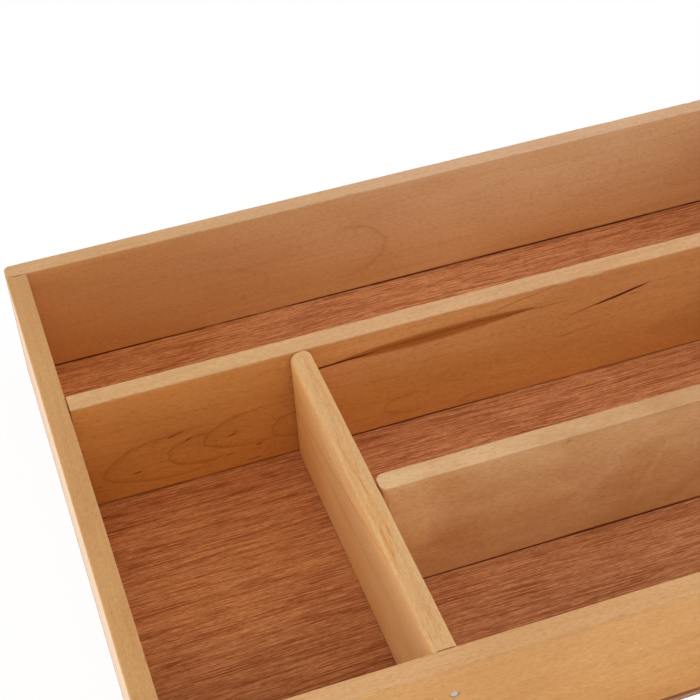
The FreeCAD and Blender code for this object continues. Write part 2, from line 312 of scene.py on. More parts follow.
def band_line():
    """A tinted band along the line from Start to End, thickest in its middle; it draws stains and also
    painted shade and light.
    """
    tree, given, result = group(
        "Tint Band Line",
        [
            PLACE,
            ("Start", "Vector", (0, 0, 0)),
            ("End", "Vector", (10, 0, 0)),
            ("Width", "Float", 1.0),
            ("Softness", "Float", 0.5),
        ],
        [("Tint Band", "Float")],
    )
    run = vector_calc(tree, "SUBTRACT", given["End"], given["Start"])
    reach = vector_calc(tree, "SUBTRACT", given["Place"], given["Start"])
    ahead = vector_calc(tree, "DOT_PRODUCT", reach, run, out="Value")
    whole = vector_calc(tree, "DOT_PRODUCT", run, run, out="Value")
    along = calc(tree, "DIVIDE", ahead, whole, clamp=True)
    off = vector_calc(tree, "DISTANCE", reach, scaled(tree, run, along), out="Value")
    middle = calc(tree, "ABSOLUTE", calc(tree, "SUBTRACT", calc(tree, "MULTIPLY", along, 2.0), 1.0))
    taper = calc(tree, "SUBTRACT", 1.0, calc(tree, "POWER", middle, 2.5))
    wide = calc(tree, "MULTIPLY", given["Width"], taper)
    soft = calc(tree, "MAXIMUM", calc(tree, "MULTIPLY", wide, given["Softness"]), 0.02)
    band_amount = calc(tree, "DIVIDE", calc(tree, "SUBTRACT", wide, off), soft, clamp=True)
    feed(tree, result["Tint Band"], band_amount)
    return tree


def edge_wear():
    """Where hands and sandpaper have softened an edge, broken up by noise."""
    tree, given, result = group(
        "Edge Wear",
        [PLACE, SHIFT, ("Edge", "Float", 0.0)],
        [("Wear", "Float"), ("Nicks", "Float")],
    )
    rough = cloud(tree, stretched(tree, given["Place"], (0.12, 0.9, 0.9)), given["Shift"], 3.0, 0.65)
    feed(tree, result["Wear"], calc(tree, "MULTIPLY", given["Edge"], ramp(tree, rough, 0.40, 0.66)))
    feed(tree, result["Nicks"], calc(tree, "MULTIPLY", given["Edge"], ramp(tree, rough, 0.36, 0.28)))
    return tree


def end_grain():
    """The cut ends of a board: a mask, and the speckle of cut fibres."""
    tree, given, result = group(
        "End Grain",
        [PLACE, SHIFT, ("Facing", "Vector", (0, 0, 1))],
        [("End", "Float"), ("Speckle", "Float")],
    )
    ahead = calc(tree, "ABSOLUTE", split(tree, given["Facing"])["X"])
    speckle = cloud(tree, stretched(tree, given["Place"], (0.4, 1.3, 1.3)), given["Shift"], 3.0, 0.7)
    feed(tree, result["End"], ramp(tree, ahead, 0.45, 0.9))
    feed(tree, result["Speckle"], ramp(tree, speckle, 0.44, 0.66))
    return tree


GROWTH_RINGS = growth_rings()
GRAIN_ARCH = grain_arch()
WOOD_FIBRES = wood_fibres()
TONE_PATCHES = tone_patches()
OPEN_PORES = open_pores()
BAND_LINE = band_line()
EDGE_WEAR = edge_wear()
END_GRAIN = end_grain()


# Materials


def fresh_material(name):
    material = bpy.data.materials.new(name)
    material.use_nodes = True
    tree = material.node_tree
    tree.nodes.clear()
    shader = tree.nodes.new("ShaderNodeBsdfPrincipled")
    out = tree.nodes.new("ShaderNodeOutputMaterial")
    tree.links.new(shader.outputs[0], out.inputs[0])
    return material, tree, shader


def board_turn(turned):
    """The turn that brings the grain of a board to X."""
    return (0, 0, math.radians(-90) if turned else 0)


def board_place(tree, turned=False):
    """The place inside a board in millimetres, from the row frame, with the grain along X."""
    spot = place(tree, "ShaderNodeTexCoord").outputs["Object"]
    spot = place(tree, "ShaderNodeMapping", {"Vector": spot, "Rotation": board_turn(turned)}).outputs[0]
    return scaled(tree, spot, 1 / MM)


def board_facing(tree, turned=False):
    """The way a face looks, with the same turn as board_place."""
    facing = place(tree, "ShaderNodeNewGeometry").outputs["Normal"]
    inputs = {"Vector": facing, "Rotation": board_turn(turned)}
    return place(tree, "ShaderNodeMapping", inputs, vector_type="NORMAL").outputs[0]


def shade(tree, colour, amount, tint):
    """Multiplies a colour towards a tint by an amount."""
    return blend(tree, amount, colour, (*tint, 1.0), "MULTIPLY")


def shift_of(seed):
    """A place in the noise far from the other seeds' places."""
    return (seed * 17.31, seed * 5.77, seed * 9.13)


# Tints, which a colour is multiplied by

BROWN = (0.74, 0.60, 0.46)
RUSSET = (0.52, 0.32, 0.20)
ORANGE = (0.97, 0.76, 0.50)
# DARK_LINE darkens real dark marks in the wood, and also the painted shade along the feet of the boards
DARK_LINE = (0.30, 0.09, 0.04)
SLIT = (0.22, 0.07, 0.04)
# painted shade for the crease where a board meets the floor
PAINTED_CREASE_SHADE = (0.46, 0.19, 0.10)

# How far noise bends the arches, and the stains and bands of painted shade, in millimetres along, through
# and up the board

ARCH_WANDER = (7.0, 2.0, 3.0)
BAND_WANDER = (2.0, 0.6, 0.9)
ARCH_WIDTH = 0.85


def marked(tree, colour, spot, shift, arches, stains_and_shading):
    """Draws the arches, and the stains and bands of painted shade and light, that belong to one face. Their
    outlines are uneven.
    """
    wander = cloud(tree, stretched(tree, spot, (0.035, 0.16, 0.16)), shift, 3.0, 0.6, "Color")
    wander = vector_calc(tree, "SUBTRACT", wander, (0.5, 0.5, 0.5))
    bent = vector_calc(tree, "ADD", spot, stretched(tree, wander, ARCH_WANDER))
    for apex_along, apex_up, reach, rise, fall, fade, strength in arches:
        arch = use(
            tree, GRAIN_ARCH,
            Place=bent, Apex=(apex_along, 0, apex_up), Reach=reach, Rise=rise, Fall=fall, Width=ARCH_WIDTH,
            Fade=fade,
        )
        line = calc(tree, "MULTIPLY", arch["Line"], strength * 0.6)
        colour = shade(tree, colour, line, (0.55, 0.36, 0.22))
        inside = calc(tree, "MULTIPLY", arch["Inside"], strength * 0.5)
        colour = shade(tree, colour, inside, (0.72, 0.55, 0.38))
    lightly = vector_calc(tree, "ADD", spot, stretched(tree, wander, BAND_WANDER))
    for start, end, wide, soft, strength, tint in stains_and_shading:
        mark = use(tree, BAND_LINE, Place=lightly, Start=start, End=end, Width=wide, Softness=soft)
        colour = shade(tree, colour, calc(tree, "MULTIPLY", mark["Tint Band"], strength), tint)
    return colour


def hardwood(
    name, turned, seed, face, top, span, rings,
    lines=0.2, line_tint=(0.62, 0.42, 0.28), thinness=6.0, ring_tone=0.10,
    streaks=0.16, flecks=0.25, patch=32.0, cloudy=0.5,
    painted_low_shading=(0.98, 0.91, 0.74), painted_foot_shade=1.0, sheen=0.0, arches=(), stains_and_shading=(),
):
    """A planed board.

    Face and top each hold two colours, for the two ends of span; they differ partly as the wood does and
    partly as painted light and shade. Rings are pith, lean, drop, spacing and warp. The low tint colours the
    face's lower part as painted shade (painted light where it lightens), and the foot strength is a dark
    line of painted shade in the crease at its foot.
    """
    material, tree, shader = fresh_material(name)
    spot, faces = board_place(tree, turned), board_facing(tree, turned)
    shift = shift_of(seed)
    parts = split(tree, spot)
    pith, lean, drop, spacing, warp = rings
    cut_rings = use(
        tree, GROWTH_RINGS,
        Place=spot, Shift=shift, Pith=pith, Lean=lean, Drop=drop, Spacing=spacing, Warp=warp,
        Thinness=thinness,
    )
    fibres = use(tree, WOOD_FIBRES, Place=spot, Shift=shift)
    tone = use(tree, TONE_PATCHES, Place=spot, Shift=shift, Size=patch)["Tone"]

    # tone from one end to the other, and from the rim down to the foot, where the tint is painted shade
    # (painted light where the tint lightens, as on the cross divider)
    along = ramp(tree, parts["X"], span[0], span[1])
    face_colour, top_colour = (blend(tree, along, (*near, 1.0), (*far, 1.0)) for near, far in (face, top))
    face_colour = shade(tree, face_colour, ramp(tree, parts["Z"], 44.0, 6.0), painted_low_shading)
    # face and top colours differ partly as the wood does and partly as painted light and shade, for how
    # brightly sides and tops are lit
    is_top = ramp(tree, split(tree, faces)["Z"], 0.0, 0.22)
    colour = blend(tree, is_top, face_colour, top_colour)

    # patches, rings, streaks and flecks
    colour = shade(tree, colour, ramp(tree, tone, 0.42, 0.72, 0.0, cloudy), (0.86, 0.76, 0.66))
    colour = shade(tree, colour, ramp(tree, tone, 0.50, 0.26, 0.0, cloudy), (1.06, 1.10, 1.14))
    colour = shade(tree, colour, calc(tree, "MULTIPLY", cut_rings["Ring Tone"], ring_tone), BROWN)
    colour = shade(tree, colour, ramp(tree, fibres["Streaks"], 0.45, 0.72, 0.0, streaks), BROWN)
    colour = shade(tree, colour, ramp(tree, fibres["Fine"], 0.46, 0.74, 0.0, 0.5), BROWN)
    colour = shade(tree, colour, ramp(tree, fibres["Fine"], 0.48, 0.30), (1.06, 1.09, 1.13))
    colour = shade(tree, colour, calc(tree, "MULTIPLY", cut_rings["Line"], lines), line_tint)
    colour = shade(tree, colour, calc(tree, "MULTIPLY", fibres["Flecks"], flecks), RUSSET)
    colour = marked(tree, colour, spot, shift, arches, stains_and_shading)

    # cut ends, worn and nicked edges, and a dark line of painted shade in the crease along the foot
    ends = use(tree, END_GRAIN, Place=spot, Shift=shift, Facing=faces)
    cut = shade(tree, colour, 0.6, (0.80, 0.68, 0.56))
    cut = shade(tree, cut, calc(tree, "MULTIPLY", ends["Speckle"], 0.7), (0.45, 0.28, 0.18))
    colour = blend(tree, ends["End"], colour, cut)
    edge = place(tree, "ShaderNodeAttribute", attribute_name="arris").outputs["Fac"]
    edges = use(tree, EDGE_WEAR, Place=spot, Shift=shift, Edge=edge)
    colour = blend(tree, calc(tree, "MULTIPLY", edges["Wear"], 0.5), colour, top_colour)
    colour = shade(tree, colour, calc(tree, "MULTIPLY", edges["Nicks"], 0.7), RUSSET)
    # the foot attribute marks the foot of the skin, where the painted shade of the crease is drawn
    foot = place(tree, "ShaderNodeAttribute", attribute_name="foot").outputs["Fac"]
    broken = cloud(tree, stretched(tree, spot, (0.035, 0.1, 0.1)), shift, 3.0, 0.6)
    broken = calc(tree, "MULTIPLY", foot, ramp(tree, broken, 0.36, 0.52, 0.45, 1.0))
    colour = shade(tree, colour, calc(tree, "MULTIPLY", broken, painted_foot_shade), DARK_LINE)
    feed(tree, shader.inputs["Base Color"], colour)

    # oiled wood: half dull, with shallow fibres, and a sheen where the board has one
    dull = calc(tree, "MULTIPLY_ADD", fibres["Streaks"], 0.25, 0.40)
    dull = calc(tree, "MULTIPLY_ADD", ends["End"], 0.2, dull)
    feed(tree, shader.inputs["Roughness"], dull)
    shader.inputs["Specular IOR Level"].default_value = 0.25
    shader.inputs["Sheen Weight"].default_value = sheen
    shader.inputs["Sheen Roughness"].default_value = 0.3
    shader.inputs["Sheen Tint"].default_value = (1.0, 0.95, 0.86, 1.0)
    high = calc(tree, "MULTIPLY_ADD", fibres["Fine"], 0.6, calc(tree, "MULTIPLY", fibres["Streaks"], 0.5))
    high = calc(tree, "MULTIPLY_ADD", fibres["Flecks"], -0.5, high)
    rough_end = calc(tree, "MULTIPLY", ends["Speckle"], ends["End"])
    high = calc(tree, "MULTIPLY_ADD", rough_end, -1.4, high)
    bump = place(tree, "ShaderNodeBump", {"Height": high, "Strength": 0.22, "Distance": 0.0002})
    feed(tree, shader.inputs["Normal"], bump.outputs[0])
    return material


PANEL_MIDDLE = 1.5  # height of the middle of the panel's thickness
CORE_HALF = 0.78  # half the thickness of its middle ply


def plywood():
    """The bottom panel: a reddish open-pored face, and three plies at its edges."""
    material, tree, shader = fresh_material("reddish_plywood")
    spot, faces = board_place(tree), board_facing(tree)
    pores = use(tree, OPEN_PORES, Place=spot, Shift=shift_of(2))
    tone = use(tree, TONE_PATCHES, Place=spot, Shift=shift_of(4), Size=38.0)["Tone"]
    parts = split(tree, spot)
    # painted shade: left of the cross divider the floor is redder and darker, in the closed left bay
    right = ramp(tree, parts["X"], -110.0, -60.0)
    light = blend(tree, right, (0.650, 0.261, 0.085, 1), (0.662, 0.288, 0.117, 1))
    deep = blend(tree, right, (0.584, 0.220, 0.065, 1), (0.601, 0.243, 0.090, 1))
    colour = blend(tree, ramp(tree, pores["Bands"], 0.25, 0.75), deep, light)
    # painted shade: darker towards the front
    colour = shade(tree, colour, ramp(tree, parts["Y"], -30.0, -75.0), (0.84, 0.84, 0.88))
    colour = shade(tree, colour, ramp(tree, tone, 0.42, 0.72, 0.0, 0.25), (0.84, 0.74, 0.66))
    colour = shade(tree, colour, ramp(tree, pores["Hair"], 0.45, 0.68, 0.0, 0.85), (0.72, 0.58, 0.50))
    colour = shade(tree, colour, ramp(tree, pores["Hair"], 0.48, 0.30), (1.12, 1.20, 1.28))
    colour = shade(tree, colour, pores["Lines"], (0.55, 0.37, 0.27))

    is_edge = ramp(tree, calc(tree, "ABSOLUTE", split(tree, faces)["Z"]), 0.75, 0.4)
    wobble = cloud(tree, stretched(tree, spot, (0.05, 0.05, 0.3)), shift_of(3), 2.0, 0.5)
    wobble = calc(tree, "MULTIPLY", calc(tree, "SUBTRACT", wobble, 0.5), 0.2)
    height = calc(tree, "ADD", parts["Z"], wobble)
    off_middle = calc(tree, "ABSOLUTE", calc(tree, "SUBTRACT", height, PANEL_MIDDLE))
    core = calc(tree, "LESS_THAN", off_middle, CORE_HALF)
    speckle = cloud(tree, stretched(tree, spot, (1.6, 1.6, 1.6)), shift_of(5), 3.0, 0.7)
    core_colour = blend(tree, ramp(tree, speckle, 0.4, 0.65), (0.50, 0.30, 0.17, 1), (0.26, 0.12, 0.06, 1))
    edge_colour = blend(tree, core, shade(tree, colour, 0.5, (0.8, 0.7, 0.6)), core_colour)
    seam = calc(tree, "ABSOLUTE", calc(tree, "SUBTRACT", off_middle, CORE_HALF))
    edge_colour = shade(tree, edge_colour, ramp(tree, seam, 0.10, 0.02, 0.0, 0.7), (0.35, 0.22, 0.14))
    colour = blend(tree, is_edge, colour, edge_colour)
    feed(tree, shader.inputs["Base Color"], colour)
    feed(tree, shader.inputs["Roughness"], calc(tree, "MULTIPLY_ADD", pores["Lines"], 0.2, 0.55))
    shader.inputs["Specular IOR Level"].default_value = 0.22
    high = calc(tree, "SUBTRACT", calc(tree, "MULTIPLY", pores["Hair"], 0.4), pores["Lines"])
    bump = place(tree, "ShaderNodeBump", {"Height": high, "Strength": 0.35, "Distance": 0.0003})
    feed(tree, shader.inputs["Normal"], bump.outputs[0])
    return material


def pin_steel():
    """Plain steel wire brads: dull heads with a little brown in the hollows."""
    material, tree, shader = fresh_material("pin_steel")
    spot = board_place(tree)
    spots = cloud(tree, stretched(tree, spot, (1.1, 1.1, 1.1)), shift_of(8), 3.0, 0.6)
    fine = cloud(tree, stretched(tree, spot, (6.0, 6.0, 6.0)), shift_of(9), 2.0, 0.6)
    tarnish = ramp(tree, spots, 0.5, 0.7)
    colour = blend(tree, tarnish, (0.56, 0.55, 0.53, 1), (0.30, 0.22, 0.16, 1))
    feed(tree, shader.inputs["Base Color"], colour)
    feed(tree, shader.inputs["Metallic"], ramp(tree, tarnish, 0.0, 1.0, 1.0, 0.55))
    feed(tree, shader.inputs["Roughness"], calc(tree, "MULTIPLY_ADD", tarnish, 0.35, 0.32))
    bump = place(tree, "ShaderNodeBump", {"Height": fine, "Strength": 0.2, "Distance": 0.0001})
    feed(tree, shader.inputs["Normal"], bump.outputs[0])
    return material


# Boards

ARC_STEPS = 6
STATION = 2.5
TINY = 0.02
RIM_ZONE = 3.2  # the plain part of a side stops this far below the rim
EDGE_CHANGE = 0.35  # how much the sanding of an edge varies
HOLLOW_FROM, HOLLOW_DEPTH = 0.45, 1.4  # the noise above the first number is a hollow, times the second


def spread(count):
    """Even steps from 0 to 1."""
    return [i / count for i in range(count + 1)]


# Levels are heights on a board's skin. The two lowest ones on the side stand close together, because
# the painted shade at the foot fades out between them.

FOOT_SHADE, FOOT_CLEAR = 0.006, 0.016
BOARD_LEVELS = (
    [("foot", t) for t in spread(3)]
    + [("side", t) for t in (FOOT_SHADE, FOOT_CLEAR, *spread(9)[1:])]
    + [("top", t) for t in spread(ARC_STEPS)]
)
PANEL_LEVELS = [("foot", t) for t in spread(3)] + [("top", t) for t in spread(3)]


class Board:
    """One board with sanded edges, built in rings from its lower face up.

    Ends holds, for the start and the stop, the radius of the upright corners and how far the top edge's
    rounding goes on over that end. Dents are place, side, width and depth.
    """

    def __init__(
        self, node, turned, ends, seed, top=0.7, foot=0.4, left_more=0.0, dents=(),
        levels=BOARD_LEVELS, cap_parts=4, uneven=True,
    ):
        low, high = (Vector(c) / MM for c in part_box(node))
        self.turned, self.seed, self.levels = turned, seed, levels
        long_axis, wide_axis = (1, 0) if turned else (0, 1)
        self.start, self.stop = low[long_axis], high[long_axis]
        self.middle = (low[wide_axis] + high[wide_axis]) / 2
        self.half = (high[wide_axis] - low[wide_axis]) / 2
        self.floor, self.rim = low.z, high.z
        self.ends = [(which, end, *ends[which > 0]) for which, end in ((-1, self.start), (1, self.stop))]
        self.top, self.foot, self.uneven = top, foot, uneven
        self.left_more, self.dents, self.cap_parts = left_more, dents, cap_parts

    def edge_round(self, along, side):
        """How far this spot of the top edge is sanded off: uneven, with a few dents."""
        if not self.uneven:
            return self.top
        # a slow wave and short hollows; side and seed only pick a part of the noise
        wander = noise.noise(Vector((along * 0.045, side * 7.3, self.seed * 3.1)))
        bump = noise.noise(Vector((along * 0.23, side * 4.1, self.seed * 5.7 + 40)))
        sanded = self.top * (1 + EDGE_CHANGE * wander)
        if side < 0:
            sanded += self.left_more
        for at, at_side, wide, deep in self.dents:
            if side == at_side:
                sanded += deep * math.exp(-(((along - at) / wide) ** 2))
        return sanded + max(0.0, bump - HOLLOW_FROM) * HOLLOW_DEPTH

    def ring(self):
        """Half a ring: from the middle of the start, round the +side, to the middle of the stop."""
        start, stop = self.ends
        arc = [math.pi / 2 * t for t in spread(ARC_STEPS)]
        run = spread(max(8, round((self.stop - self.start) / STATION)))[1:-1]
        return [(*start, a) for a in arc] + [("run", t) for t in run] + [(*stop, a) for a in arc[::-1]]

    def profile(self, along, level, side):
        """How far in from the side, and how high, the skin is at a level."""
        kind, value = level
        turn = math.pi / 2 * value
        if kind == "foot":
            return self.foot * (1 - math.sin(turn)), self.floor + self.foot * (1 - math.cos(turn))
        if kind == "side":
            return 0.0, self.floor + self.foot + (self.rim - self.floor - self.foot - RIM_ZONE) * value
        radius = self.edge_round(along, side)
        return radius * (1 - math.cos(turn)), self.rim - radius * (1 - math.sin(turn))

    def round_end(self, inset, which, end, corner, ease, angle):
        """A point on the corner of one end, seen from above."""
        back = inset * ease
        centre_along = end - which * max(corner, back + TINY)
        centre_side = self.half - max(corner, inset + TINY)
        wide = max(corner - back, TINY)
        deep = max(corner - inset, TINY)
        return centre_along + which * wide * math.cos(angle), centre_side + deep * math.sin(angle)

    def spot(self, step, level, side):
        """One point of the board's skin, in the row frame."""
        if step[0] == "run":
            part = step[1]
            inset, height = self.profile(self.start + (self.stop - self.start) * part, level, side)
            (first, across), (last, _) = (self.round_end(inset, *end, math.pi / 2) for end in self.ends)
            along = first + (last - first) * part
        else:
            inset, height = self.profile(step[1], level, side)
            along, across = self.round_end(inset, *step)
        across = self.middle + side * across
        return Vector((across, along, height) if self.turned else (along, across, height)) * MM

    def build(self, name):
        mesh = bmesh.new()
        arris = mesh.verts.layers.float.new("arris")
        # foot marks the skin that gets the painted shade of the crease at the foot
        foot = mesh.verts.layers.float.new("foot")
        steps = self.ring()
        rows = []
        for level in self.levels:
            kind, value = level
            row = []
            for side in (-1, 1):
                line = []
                for step in steps:
                    vert = mesh.verts.new(self.spot(step, level, side))
                    vert[arris] = math.sin(math.pi * value) if kind == "top" else 0.0
                    vert[foot] = 1.0 if kind == "foot" or value == FOOT_SHADE else 0.0
                    line.append(vert)
                row.append(line)
            rows.append(row)
        for low, high in zip(rows, rows[1:]):
            for side, flip in ((0, False), (1, True)):
                for i in range(len(steps) - 1):
                    quad = [low[side][i], low[side][i + 1], high[side][i + 1], high[side][i]]
                    mesh.faces.new(quad[::-1] if flip else quad)
            for i, flip in ((0, True), (len(steps) - 1, False)):
                quad = [low[0][i], low[1][i], high[1][i], high[0][i]]
                mesh.faces.new(quad[::-1] if flip else quad)
        self.cap(mesh, rows[-1], self.cap_parts, True)
        self.cap(mesh, rows[0], 1, False)
        mesh.normal_update()
        bmesh.ops.recalc_face_normals(mesh, faces=mesh.faces)
        return made_object(name, mesh)

    def cap(self, mesh, row, parts, upper):
        """Closes the top or the lower face between its two long sides."""
        lines = [row[0]]
        for k in range(1, parts):
            lines.append([mesh.verts.new(a.co.lerp(b.co, k / parts)) for a, b in zip(*row)])
        lines.append(row[1])
        for one, two in zip(lines, lines[1:]):
            for i in range(len(one) - 1):
                quad = [one[i], one[i + 1], two[i + 1], two[i]]
                mesh.faces.new(quad if upper else quad[::-1])
        if parts == 1:
            return
        # one face with many corners joins the cap to each end, whose own edge isn't divided
        for i in (0, len(row[0]) - 1):
            rim = [line[i] for line in lines]
            mesh.faces.new(rim if (i == 0) == upper else rim[::-1])


def made_object(name, mesh):
    """Turns a bmesh into an object of the scene."""
    data = bpy.data.meshes.new(name)
    mesh.to_mesh(data)
    mesh.free()
    made = bpy.data.objects.new(name, data)
    bpy.context.scene.collection.objects.link(made)
    return made


def pin_spots(node):
    """The low and high corner of each pin of a group."""
    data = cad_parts[node].data
    near = [[] for _ in data.vertices]
    for edge in data.edges:
        a, b = edge.vertices
        near[a].append(b)
        near[b].append(a)
    # corners at one place belong to one pin, even where the mesh isn't joined there
    places = {}
    for vert in data.vertices:
        places.setdefault(tuple(round(c, 6) for c in vert.co), []).append(vert.index)
    for same in places.values():
        for other in same[1:]:
            near[same[0]].append(other)
            near[other].append(same[0])
    seen = set()
    found = []
    for first in range(len(near)):
        if first in seen:
            continue
        todo = [first]
        seen.add(first)
        some = []
        while todo:
            here = todo.pop()
            some.append(data.vertices[here].co)
            for other in near[here]:
                if other not in seen:
                    seen.add(other)
                    todo.append(other)
        low = Vector(min(p[i] for p in some) for i in range(3)) / MM
        high = Vector(max(p[i] for p in some) for i in range(3)) / MM
        found.append((low, high))
    return found


PIN_SINK = 0.36
PIN_MOUTH = 1.5
PIN_BED = 1.24
PUNCH_OUT = 0.4  # how far the cutting cone stands out of the face


def punch_holes(piece, holes):
    """Small punched hollows in a face, one round each pin head."""
    mesh = bmesh.new()
    for centre, out in holes:
        turned = Vector(out).to_track_quat("Z", "Y").to_matrix().to_4x4()
        wide = PIN_MOUTH + (PIN_MOUTH - PIN_BED) * PUNCH_OUT / PIN_SINK
        middle = Vector(centre) + Vector(out) * (PUNCH_OUT - PIN_SINK) / 2
        bmesh.ops.create_cone(
            mesh,
            cap_ends=True,
            segments=28,
            radius1=PIN_BED * MM,
            radius2=wide * MM,
            depth=(PIN_SINK + PUNCH_OUT) * MM,
            matrix=Matrix.Translation(middle * MM) @ turned,
        )
    punch = made_object("punch", mesh)
    cut = piece.modifiers.new("holes", "BOOLEAN")
    cut.operation = "DIFFERENCE"
    cut.solver = "EXACT"
    cut.object = punch
    shape = piece.evaluated_get(bpy.context.evaluated_depsgraph_get())
    punched = bpy.data.meshes.new_from_object(shape)
    piece.modifiers.clear()
    piece.data = punched
    bpy.data.objects.remove(punch)


SHARP_ANGLE = math.radians(34)


def finish_board(piece, node, material):
    """Gives a piece its material and shading, and puts it in its CAD node's place."""
    data = piece.data
    data.materials.clear()
    data.materials.append(material)
    for face in data.polygons:
        face.use_smooth = True
        face.material_index = 0
    data.set_sharp_from_angle(angle=SHARP_ANGLE)
    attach(piece, "root")
    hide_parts(node)


def heads(nodes, axis, sign, face):
    """The middle of each pin's head on a face, with the way the face looks."""
    out = [0, 0, 0]
    out[axis] = sign
    made = []
    for node in nodes:
        for low, high in pin_spots(node):
            centre = (low + high) / 2
            centre[axis] = face
            made.append((centre, tuple(out)))
    return made


# Planes of the faces that carry stains and painted shade, as places across the board

BACK_FACE = 117.5
BACK_NEAR = 117  # a little in front of it
LONG_FACE = 31.5
SHORT_FACE = -47.5
CROSS_FACE = 85
RIM = 53


def on_face(across, *rows):
    """Stains and bands of painted shade and light on one face. Each row starts with along, up, along, up for
    its two ends.
    """
    return [((a, across, b), (c, across, d), *rest) for a, b, c, d, *rest in rows]
